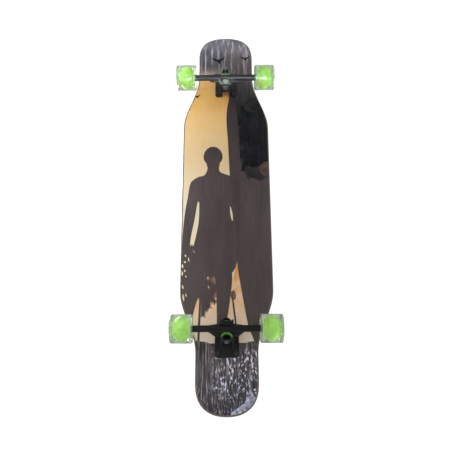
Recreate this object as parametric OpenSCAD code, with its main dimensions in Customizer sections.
// Forty-inch cruising longboard: a three-layer maple deck with grip tape, two reverse-kingpin
// trucks that steer on rubber bushings, and four free-running urethane wheels on ball bearings.
// Millimetres. +X points to the nose, +Y to the rider's left, +Z up. Wheels stand on z = 0.

/* [Deck] */
// Length of the deck from tip to tip
deck_length = 1016; // [940:4:1100]
// Width across the middle of the deck
deck_width = 222; // [206:2:240]
// Width across the necks and the rounded ends
neck_width = 144; // [130:1:160]
// Where the wide middle starts to draw in, from the centre
waist_start = 217; // [200:1:240]
// Where the neck reaches its own width, from the centre
waist_end = 370; // [350:1:385]
// Rise of the deck's long edges above its flat middle
concave_rise = 5; // [0:0.5:9]
// Rise of each tip above the flat middle
kick_rise = 9; // [0:0.5:14]
// Thickness of each face veneer
veneer_thickness = 1.5; // [1:0.1:2]
// Thickness of the laminated core between the veneers
core_thickness = 8; // [6:0.5:10]
// Thickness of the grip tape
grip_thickness = 0.8; // [0.5:0.1:1.2]

/* [Trucks] */
// Distance of each baseplate's centre from the middle of the deck
truck_offset = 344.5; // [340:0.5:360]
// Height from the deck's underside to the axle
truck_height = 64; // [60:0.5:66]
// Distance of the axle inboard of the baseplate's centre
axle_inset = 18; // [17:0.5:21]
// Angle of the steering axis above the deck plane
steer_angle = 42; // [40:1:44]
// Width of the hanger between its wheel shoulders
hanger_width = 173; // [150:1:200]
// Length of each baseplate
plate_length = 71; // [70:1:78]
// Width of each baseplate
plate_width = 55; // [52:1:60]

/* [Wheels] */
// Diameter of each wheel
wheel_diameter = 64; // [60:1:70]
// Width of each wheel
wheel_width = 51; // [44:1:54]
// Diameter of the green core inside the clear urethane
core_diameter = 43; // [38:1:46]
// Width of the core
core_width = 30; // [28:1:34]

/* [Hidden] */
$fn = 64;

wheel_radius = wheel_diameter / 2;
deck_bottom = wheel_radius + truck_height;
deck_top = deck_bottom + 2 * veneer_thickness + core_thickness;

// Deck form
half_length = deck_length / 2;
end_length = 84;                   // length over which each tip rounds off
end_power = 3;                     // how late the rounding starts
end_root = 2.2;                    // how square the tip is
kick_length = 78;                  // length over which each end rises
end_start = half_length - end_length;
kick_start = half_length - kick_length;
flat_half = 40;                    // half width of the flat strip the trucks sit on
station_count = 34;                // cross sections from the middle to one tip
station_crowding = 1.9;            // how closely the sections crowd towards the tips
tip_fraction = 0.9995;             // the last section stops just short of a point
columns = [-1, -0.86, -0.68, -0.45, 0, 0.45, 0.68, 0.86, 1];

// Mounting bolts
bolt_x = 27;                       // half the hole spacing along the deck
bolt_y = 20.65;                    // half the hole spacing across the deck
bolt_radius = 2.4;
bolt_hole = 2.6;
bolt_head_radius = 4.6;
bolt_head_height = 2.6;
head_clearance = 0.1;
slot_length = 4.8;
slot_width = 1;
slot_depth = 1.6;
thread_clearance = 0.03;
bolt_spare = 1.5;                  // bolt left showing past its nut
nut_corner = 5.4;
nut_collar = 4.4;
nut_collar_height = 1.2;
through = 40;                      // long enough to cut through the whole deck
plate_thickness = 5;
plate_corner = 7;
mount_nut_height = 5;

// Truck stack, measured along the kingpin from the axle's level
axis_drop = 6;                     // steering axis above the axle, along the kingpin
ring_set = 21;                     // bushing ring outboard of the axle
ring_half = 4.5;
ring_radius = 17;
ring_hole = 7;
bushing_radius = 12.5;
cone_tip_radius = 10;
bushing_hole = 5;
roadside_height = 10;
boardside_height = 9.5;
stack_washer = 1.5;
seat_wall = 5;
seat_reach = 14;                   // the seat wall past the kingpin, outboard
seat_length = 27.5;
seat_half = 15;
seat_step = 0.5;                   // the seat stands a little proud of the legs
kingpin_radius = 4.76;
hex_corner = 8.25;                 // half the corner width of the kingpin's hexagons
kingpin_head = 7;
kingpin_nut_height = 8;
kingpin_nut_collar = 6.8;
kingpin_spare = 4;                 // kingpin left showing past its nut
kingpin_play = 0.2;
nut_dome = 2;                      // height of a lock nut's round collar above its hexagon
roadside_washer_radius = 12;
bar_radius = 7.6;
shoulder_radius = 8.6;
shoulder_length = 8;
web_half = 40;                     // half width of the hanger's web under the bar
web_back = 4;                      // the web is that wide from here, outboard of the axle,
web_front = 3;                     // to here, inboard of it
web_tip = 8;                       // then it narrows to its inboard edge
web_tip_half = 12;
web_neck = [11, 21];               // the web's hollow sides, outboard of the axle and off centre
web_hollow = [6.5, 27];
saddle_half = 5;
saddle_width = 50;
ring_level = -axis_drop;
seat_level = ring_level - ring_half - boardside_height - stack_washer;
nut_level = ring_level + ring_half + roadside_height + stack_washer;

// Pivot
pivot_radius = 4.5;
cup_radius = 7;
housing_radius = 8.4;
bridge_top = 0.5;                  // the tapered web between the legs that carries the pivot housing
bridge_bottom = -6;
bridge_inset = 0.5;                // the web is a little shorter than the housing
bridge_half = 15;
bridge_tip_half = 10;
pocket_start = 8.6;                // pocket's mouth inboard of the axle
pocket_end = 14.6;
housing_end = 19.6;                // the housing shields the cup's closed back
cup_wall = 1.5;                    // closed back of the pivot cup
leg_inner = 11.5;                  // the two legs leave the kingpin's head free between them
leg_outer = 15.7;                  // clear of the mounting nuts
leg_top = 1;                       // level of the legs' tips beside the pivot housing
leg_tip = 3;                       // length of those tips
leg_waist = 6;                     // the legs' inboard edge, above the seat's level
leg_bend = 10.5;                   // the legs' outboard edge, below the ring's level
leg_foot = 14;                     // outboard end of the legs' feet on the plate
leg_back = 12;                     // height of the legs at the plate's inboard end
notch_half = 9;
notch_depth = 16;
seat_gap = 0.02;                   // between pieces that are pressed or cast together
pivot_play = 0.05;                 // between the pivot pin and its cup
pivot_end_gap = 0.5;
bushing_gap = 0.6;                 // between the roadside bushing and the bar

// Wheels and bearings
axle_radius = 3.97;
bearing_bore = 4;
bearing_radius = 10.97;
bearing_seat = 11;
bearing_width = 7;
spacer_width = 10;
speed_washer = 1;
axle_nut_height = 7;
axle_nut_corner = 7.2;
axle_nut_collar = 6;
axle_spare = 1.5;                  // axle left showing past its nut
washer_radius = 6;                 // speed washers and spacers
ball_count = 7;
ball_radius = 1.95;
ball_circle = 7.5;
groove_radius = 2.02;
bearing_centre = spacer_width / 2 + bearing_width / 2;
race_land = 9;                     // inside of the outer race
shield_inner = 6.6;
shield_thickness = 0.5;
shield_inset = 0.6;                // the shield's middle below the bearing's face
inner_race_thickness = 2.2;
core_shoulder = 9.4;               // inside of the core between its two bearings
core_mouth = 12.5;                 // inside of the core at its two faces
core_chamfer = 1.5;
tyre_edge = 4;                     // rounding of the rolling surface's edges
tyre_lip = 1.5;                    // rounding of the lip round each face's dish
tyre_step = 2.5;
wheel_centre = hanger_width / 2 + speed_washer + bearing_width + spacer_width / 2;
nut_face = bearing_centre + bearing_width / 2 + speed_washer;
axle_half = wheel_centre + nut_face + axle_nut_height + axle_spare;

maple = [0.78, 0.62, 0.42];
print_tan = [0.75, 0.62, 0.45];
black = [0.09, 0.09, 0.1];
steel = [0.72, 0.73, 0.75];
green = [0.45, 0.85, 0.3];
urethane = [0.86, 0.93, 0.84, 0.5];

// ---- deck ----

function smooth_drop(f) = 0.5 + 0.5 * cos(180 * min(max(f, 0), 1));

function end_part(d) = min(max((d - end_start) / end_length, 0), tip_fraction);

function end_round(d) = pow(1 - pow(end_part(d), end_power), 1 / end_root);

function half_width(d) =
  (neck_width + (deck_width - neck_width) * smooth_drop((d - waist_start) / (waist_end - waist_start)))
  / 2 * end_round(d);

function lift(x, y) =
  concave_rise * pow(max(abs(y) - flat_half, 0) / (deck_width / 2 - flat_half), 2)
  + kick_rise * pow(max(abs(x) - kick_start, 0) / kick_length, 2);

function station(i) =
  sign(i) * half_length * tip_blend(1 - pow(1 - abs(i) / station_count, station_crowding));

function tip_blend(f) = min(f, 1 - (1 - tip_fraction) * end_length / half_length);

module deck_layer(low, high) {
  n = 2 * station_count + 1;
  m = len(columns);
  points = [
    for (z = [low, high])
      for (i = [-station_count:station_count])
        for (c = columns)
          let (x = station(i), y = c * half_width(abs(x)))
            [x, y, deck_bottom + z + lift(x, y)]
  ];
  upper = n * m;
  bottom = [
    for (i = [0:n - 2])
      for (j = [0:m - 2])
        let (a = i * m + j)
          each [[a, a + m, a + m + 1], [a, a + m + 1, a + 1]]
  ];
  top = [for (f = bottom) [f[0] + upper, f[2] + upper, f[1] + upper]];
  sides = [
    for (i = [0:n - 2])
      let (a = i * m, b = a + m - 1)
        each [
          [a, a + upper, a + m + upper], [a, a + m + upper, a + m],
          [b, b + m, b + m + upper], [b, b + m + upper, b + upper]
        ]
  ];
  ends = [
    for (j = [0:m - 2])
      let (a = j, b = (n - 1) * m + j)
        each [
          [a, a + 1, a + 1 + upper], [a, a + 1 + upper, a + upper],
          [b, b + upper, b + 1 + upper], [b, b + 1 + upper, b + 1]
        ]
  ];
  difference() {
    polyhedron(points, concat(bottom, top, sides, ends));
    at_bolts()
      translate([0, 0, -1])
        cylinder(h = through, r = bolt_hole);
    at_bolts()
      translate([0, 0, deck_top - deck_bottom - bolt_head_height - head_clearance])
        cylinder(h = bolt_head_height, r1 = bolt_hole, r2 = bolt_head_radius + head_clearance);
    at_bolts()
      translate([0, 0, deck_top - deck_bottom - head_clearance])
        cylinder(h = through, r = bolt_head_radius + head_clearance);
  }
}

module at_bolts() {
  for (end = [-1, 1])
    for (sx = [-1, 1])
      for (sy = [-1, 1])
        translate([end * truck_offset + sx * bolt_x, sy * bolt_y, deck_bottom])
          children();
}

module deck_bottom_veneer() {
  color(print_tan)
    deck_layer(0, veneer_thickness);
}

module deck_core() {
  color(maple)
    deck_layer(veneer_thickness, veneer_thickness + core_thickness);
}

module deck_top_veneer() {
  color(maple)
    deck_layer(veneer_thickness + core_thickness, 2 * veneer_thickness + core_thickness);
}

module grip_tape() {
  top = 2 * veneer_thickness + core_thickness;
  color(black)
    deck_layer(top, top + grip_thickness);
}

// ---- truck frames ----

// Turns a part drawn for the front truck to the rear one when turn is 180.
module at_end(turn) {
  rotate([0, 0, turn])
    children();
}

// Origin at the axle's middle: x runs inboard and down along the steering axis, z along the kingpin
// towards its nut, and y stays across the deck.
module steer_frame() {
  translate([truck_offset - axle_inset, 0, wheel_radius])
    rotate([0, 180 - steer_angle, 0])
      children();
}

// Origin on the kingpin, at the level given along it.
module on_kingpin(level) {
  steer_frame()
    translate([-ring_set, 0, level])
      children();
}

// A point of the steer frame as [x outboard of the plate's centre, z below the deck].
function truck_point(s, t) = [
  -axle_inset - s * cos(steer_angle) + t * sin(steer_angle),
  truck_height + s * sin(steer_angle) + t * cos(steer_angle)
];

// ---- truck parts ----

module rounded_plate(length, width, corner, height) {
  linear_extrude(height) {
    square([length - 2 * corner, width], center = true);
    square([length, width - 2 * corner], center = true);
    for (sx = [-1, 1])
      for (sy = [-1, 1])
        translate([sx * (length / 2 - corner), sy * (width / 2 - corner)])
          circle(r = corner);
  }
}

module leg_profile() {
  polygon([
    [-plate_length / 2 + 1, 1],
    [-plate_length / 2 + 1, leg_back],
    truck_point(pocket_end, seat_level + leg_waist),
    truck_point(pocket_start + leg_tip, leg_top),
    truck_point(pocket_start, leg_top),
    truck_point(pocket_start, ring_level - leg_bend),
    truck_point(-ring_set + seat_length - seat_reach + 2, seat_level - seat_step),
    truck_point(-ring_set - seat_reach - 1, seat_level - seat_step),
    [leg_foot, plate_thickness],
    [leg_foot, 1]
  ]);
}

module baseplate(turn) {
  color(black)
    at_end(turn)
      difference() {
        union() {
          translate([truck_offset, 0, deck_bottom - plate_thickness])
            rounded_plate(plate_length, plate_width, plate_corner, plate_thickness);
          for (side = [-1, 1])
            translate([truck_offset, side * (leg_inner + leg_outer) / 2, deck_bottom])
              rotate([-90, 0, 0])
                translate([0, 0, (leg_inner - leg_outer) / 2])
                  linear_extrude(leg_outer - leg_inner)
                    leg_profile();
          on_kingpin(seat_level - seat_wall)
            translate([-seat_reach, -seat_half, 0])
              cube([seat_length, 2 * seat_half, seat_wall]);
          steer_frame()
            translate([pocket_start, 0, ring_level])
              rotate([0, 90, 0])
                cylinder(h = housing_end - pocket_start, r = housing_radius);
          steer_frame()
            translate([0, 0, bridge_bottom])
              linear_extrude(bridge_top - bridge_bottom)
                polygon([
                  [pocket_start + bridge_inset, -bridge_half],
                  [housing_end - bridge_inset, -bridge_tip_half],
                  [housing_end - bridge_inset, bridge_tip_half],
                  [pocket_start + bridge_inset, bridge_half]
                ]);
        }
        on_kingpin(seat_level - seat_wall - 1)
          cylinder(h = seat_wall + 2, r = kingpin_radius + kingpin_play);
        steer_frame()
          translate([pocket_start - 1, 0, ring_level])
            rotate([0, 90, 0])
              cylinder(h = housing_end - pocket_start + 2, r = cup_radius + seat_gap);
        translate([truck_offset - plate_length / 2 - 1, -notch_half, deck_bottom - plate_thickness - 1])
          cube([notch_depth + 1, 2 * notch_half, plate_thickness + 2]);
        for (sx = [-1, 1])
          for (sy = [-1, 1])
            translate([truck_offset + sx * bolt_x, sy * bolt_y, deck_bottom - plate_thickness - 1])
              cylinder(h = plate_thickness + 2, r = bolt_hole);
      }
}

module pivot_cup(turn) {
  color(green)
    at_end(turn)
      steer_frame()
        translate([pocket_start, 0, ring_level])
          rotate([0, 90, 0])
            difference() {
              cylinder(h = pocket_end - pocket_start, r = cup_radius);
              translate([0, 0, -1])
                cylinder(h = pocket_end - pocket_start - cup_wall + 1, r = pivot_radius + pivot_play);
            }
}

module hanger_body() {
  // ring web, drawn in the plane across the kingpin
  translate([0, 0, ring_level - ring_half])
    linear_extrude(2 * ring_half)
      polygon([
        [-ring_set, -ring_radius], [-web_neck[0], -web_neck[1]], [-web_hollow[0], -web_hollow[1]],
        [-web_back, -web_half], [web_front, -web_half], [web_tip, -web_tip_half],
        [web_tip, web_tip_half], [web_front, web_half], [-web_back, web_half],
        [-web_hollow[0], web_hollow[1]], [-web_neck[0], web_neck[1]], [-ring_set, ring_radius]
      ]);
  translate([-ring_set, 0, ring_level - ring_half])
    cylinder(h = 2 * ring_half, r = ring_radius);
  // saddle that carries the axle bar above the web
  translate([-saddle_half, -saddle_width / 2, ring_level + ring_half - 1])
    cube([2 * saddle_half, saddle_width, axis_drop - ring_half + 1]);
}

module hanger(turn) {
  color(black)
    at_end(turn)
      steer_frame()
        difference() {
          union() {
            hanger_body();
            rotate([90, 0, 0])
              cylinder(h = hanger_width, r = bar_radius, center = true);
            for (side = [-1, 1])
              translate([0, side * (hanger_width - shoulder_length) / 2, 0])
                rotate([90, 0, 0])
                  cylinder(h = shoulder_length, r = shoulder_radius, center = true);
            translate([0, 0, ring_level])
              rotate([0, 90, 0])
                cylinder(h = pocket_end - cup_wall - pivot_end_gap, r = pivot_radius);
          }
          rotate([90, 0, 0])
            cylinder(h = hanger_width + 2, r = axle_radius + seat_gap, center = true);
          translate([-ring_set, 0, ring_level - ring_half - 1])
            cylinder(h = 2 * ring_half + 2, r = ring_hole);
          translate([-ring_set, 0, ring_level + ring_half])
            cylinder(h = roadside_height + 3, r = bushing_radius + bushing_gap);
        }
}

module axle(turn) {
  color(steel)
    at_end(turn)
      steer_frame()
        rotate([90, 0, 0])
          cylinder(h = 2 * axle_half, r = axle_radius, center = true);
}

module speed_washers(turn) {
  color(steel)
    at_end(turn)
      for (side = [-1, 1])
        for (face = [-1, 1])
          translate([truck_offset - axle_inset,
                     side * (wheel_centre + face * (bearing_centre + (bearing_width + speed_washer) / 2)),
                     wheel_radius])
            rotate([90, 0, 0])
              difference() {
                cylinder(h = speed_washer, r = washer_radius, center = true);
                cylinder(h = speed_washer + 2, r = bearing_bore, center = true);
              }
}

module kingpin(turn) {
  color(steel)
    at_end(turn)
      on_kingpin(seat_level - seat_wall - kingpin_head) {
        cylinder(h = kingpin_head, r = hex_corner, $fn = 6);
        cylinder(h = nut_level + kingpin_nut_height + kingpin_spare - seat_level + seat_wall + kingpin_head,
                 r = kingpin_radius);
      }
}

module kingpin_nut(turn) {
  color(steel)
    at_end(turn)
      on_kingpin(nut_level)
        difference() {
          union() {
            cylinder(h = kingpin_nut_height - nut_dome, r = hex_corner, $fn = 6);
            cylinder(h = kingpin_nut_height, r = kingpin_nut_collar);
          }
          translate([0, 0, -1])
            cylinder(h = kingpin_nut_height + 2, r = kingpin_radius + thread_clearance);
        }
}

module stack_ring(height, r1, r2) {
  difference() {
    cylinder(h = height, r1 = r1, r2 = r2);
    translate([0, 0, -1])
      cylinder(h = height + 2, r = bushing_hole);
  }
}

module bushing_washers(turn) {
  color(steel)
    at_end(turn) {
      on_kingpin(nut_level - stack_washer)
        stack_ring(stack_washer, roadside_washer_radius, roadside_washer_radius);
      on_kingpin(seat_level)
        stack_ring(stack_washer, bushing_radius, bushing_radius);
    }
}

module roadside_bushing(turn) {
  color(green)
    at_end(turn)
      on_kingpin(ring_level + ring_half)
        stack_ring(roadside_height, bushing_radius, cone_tip_radius);
}

module boardside_bushing(turn) {
  color(green)
    at_end(turn)
      on_kingpin(seat_level + stack_washer)
        stack_ring(boardside_height, bushing_radius, bushing_radius);
}

module mounting_bolts(turn) {
  length = deck_top - deck_bottom + plate_thickness + mount_nut_height + bolt_spare;
  color(steel)
    at_end(turn)
      for (sx = [-1, 1])
        for (sy = [-1, 1])
          translate([truck_offset + sx * bolt_x, sy * bolt_y, deck_top])
            difference() {
              union() {
                translate([0, 0, -length])
                  cylinder(h = length - bolt_head_height, r = bolt_radius);
                translate([0, 0, -bolt_head_height])
                  cylinder(h = bolt_head_height, r1 = bolt_radius, r2 = bolt_head_radius);
              }
              for (turn_slot = [0, 90])
                rotate([0, 0, turn_slot])
                  cube([slot_length, slot_width, 2 * slot_depth], center = true);
            }
}

module mounting_nuts(turn) {
  color(green)
    at_end(turn)
      for (sx = [-1, 1])
        for (sy = [-1, 1])
          translate([truck_offset + sx * bolt_x, sy * bolt_y,
                     deck_bottom - plate_thickness - mount_nut_height])
            difference() {
              union() {
                translate([0, 0, nut_collar_height])
                  cylinder(h = mount_nut_height - nut_collar_height, r = nut_corner, $fn = 6);
                cylinder(h = mount_nut_height, r = nut_collar);
              }
              translate([0, 0, -1])
                cylinder(h = mount_nut_height + 2, r = bolt_radius + thread_clearance);
            }
}

// ---- wheel parts ----

// Origin at a wheel's centre, with z along its axle and away from the deck's middle.
module at_wheel(end, side) {
  translate([end * (truck_offset - axle_inset), side * wheel_centre, wheel_radius])
    rotate([-side * 90, 0, 0])
      children();
}

module tyre(end, side) {
  half = wheel_width / 2;
  core = core_diameter / 2 + seat_gap;
  dish = core_width / 2 + tyre_step;
  edge_centre = wheel_radius - tyre_edge;
  lip_centre = edge_centre - tyre_lip;
  color(urethane)
    at_wheel(end, side)
      rotate_extrude()
        polygon(concat(
          [[core, -dish], [core + tyre_step, -dish - 1]],
          [for (a = [-60:-15:-90]) [lip_centre + tyre_lip * cos(a), -half + tyre_lip + tyre_lip * sin(a)]],
          [for (a = [-90:15:0]) [edge_centre + tyre_edge * cos(a), -half + tyre_edge + tyre_edge * sin(a)]],
          [for (a = [0:15:90]) [edge_centre + tyre_edge * cos(a), half - tyre_edge + tyre_edge * sin(a)]],
          [for (a = [90:-15:60]) [lip_centre + tyre_lip * cos(a), half - tyre_lip + tyre_lip * sin(a)]],
          [[core + tyre_step, dish + 1], [core, dish]]
        ));
}

module wheel_core(end, side) {
  outer = core_diameter / 2;
  half = core_width / 2;
  color(green)
    at_wheel(end, side)
      rotate_extrude()
        polygon([
          [core_shoulder, -spacer_width / 2], [bearing_seat, -spacer_width / 2],
          [bearing_seat, -bearing_centre - bearing_width / 2], [core_mouth, -half],
          [outer - core_chamfer, -half], [outer, -half + core_chamfer],
          [outer, half - core_chamfer], [outer - core_chamfer, half],
          [core_mouth, half], [bearing_seat, bearing_centre + bearing_width / 2],
          [bearing_seat, spacer_width / 2], [core_shoulder, spacer_width / 2]
        ]);
}

module at_bearings(end, side) {
  at_wheel(end, side)
    for (face = [-1, 1])
      translate([0, 0, face * bearing_centre])
        children();
}

module outer_races(end, side) {
  half = bearing_width / 2;
  color(steel)
    at_bearings(end, side)
      rotate_extrude()
        difference() {
          union() {
            translate([race_land, -half])
              square([bearing_radius - race_land, bearing_width]);
            for (face = [-1, 1])
              translate([shield_inner, face * (half - shield_inset) - shield_thickness / 2])
                square([race_land - shield_inner + 0.6, shield_thickness]);
          }
          translate([ball_circle, 0])
            circle(r = groove_radius);
        }
}

module inner_races(end, side) {
  color(steel)
    at_bearings(end, side)
      rotate_extrude()
        difference() {
          translate([bearing_bore, -bearing_width / 2])
            square([inner_race_thickness, bearing_width]);
          translate([ball_circle, 0])
            circle(r = groove_radius);
        }
}

module bearing_balls(end, side) {
  color(steel)
    at_bearings(end, side)
      for (i = [0:ball_count - 1])
        rotate([0, 0, i * 360 / ball_count])
          translate([ball_circle, 0, 0])
            sphere(r = ball_radius);
}

module bearing_spacer(end, side) {
  color(steel)
    at_wheel(end, side)
      difference() {
        cylinder(h = spacer_width, r = washer_radius, center = true);
        cylinder(h = spacer_width + 2, r = bearing_bore, center = true);
      }
}

module axle_nut(end, side) {
  color(steel)
    at_wheel(end, side)
      translate([0, 0, nut_face])
        difference() {
          union() {
            cylinder(h = axle_nut_height - nut_dome, r = axle_nut_corner, $fn = 6);
            cylinder(h = axle_nut_height, r = axle_nut_collar);
          }
          translate([0, 0, -1])
            cylinder(h = axle_nut_height + 2, r = axle_radius + thread_clearance);
        }
}

// ---- nodes ----

deck_bottom_veneer();
deck_core();
deck_top_veneer();
grip_tape();
baseplate(0);  // front_baseplate
pivot_cup(0);  // front_pivot_cup
hanger(0);  // front_hanger
axle(0);  // front_axle
speed_washers(0);  // front_speed_washers
kingpin(0);  // front_kingpin
kingpin_nut(0);  // front_kingpin_nut
bushing_washers(0);  // front_bushing_washers
roadside_bushing(0);  // front_roadside_bushing
boardside_bushing(0);  // front_boardside_bushing
mounting_bolts(0);  // front_mounting_bolts
mounting_nuts(0);  // front_mounting_nuts
baseplate(180);  // rear_baseplate
pivot_cup(180);  // rear_pivot_cup
hanger(180);  // rear_hanger
axle(180);  // rear_axle
speed_washers(180);  // rear_speed_washers
kingpin(180);  // rear_kingpin
kingpin_nut(180);  // rear_kingpin_nut
bushing_washers(180);  // rear_bushing_washers
roadside_bushing(180);  // rear_roadside_bushing
boardside_bushing(180);  // rear_boardside_bushing
mounting_bolts(180);  // rear_mounting_bolts
mounting_nuts(180);  // rear_mounting_nuts
tyre(1, 1);  // front_left_tyre
wheel_core(1, 1);  // front_left_core
outer_races(1, 1);  // front_left_outer_races
inner_races(1, 1);  // front_left_inner_races
bearing_balls(1, 1);  // front_left_bearing_balls
bearing_spacer(1, 1);  // front_left_bearing_spacer
axle_nut(1, 1);  // front_left_axle_nut
tyre(1, -1);  // front_right_tyre
wheel_core(1, -1);  // front_right_core
outer_races(1, -1);  // front_right_outer_races
inner_races(1, -1);  // front_right_inner_races
bearing_balls(1, -1);  // front_right_bearing_balls
bearing_spacer(1, -1);  // front_right_bearing_spacer
axle_nut(1, -1);  // front_right_axle_nut
tyre(-1, 1);  // rear_left_tyre
wheel_core(-1, 1);  // rear_left_core
outer_races(-1, 1);  // rear_left_outer_races
inner_races(-1, 1);  // rear_left_inner_races
bearing_balls(-1, 1);  // rear_left_bearing_balls
bearing_spacer(-1, 1);  // rear_left_bearing_spacer
axle_nut(-1, 1);  // rear_left_axle_nut
tyre(-1, -1);  // rear_right_tyre
wheel_core(-1, -1);  // rear_right_core
outer_races(-1, -1);  // rear_right_outer_races
inner_races(-1, -1);  // rear_right_inner_races
bearing_balls(-1, -1);  // rear_right_bearing_balls
bearing_spacer(-1, -1);  // rear_right_bearing_spacer
axle_nut(-1, -1);  // rear_right_axle_nut
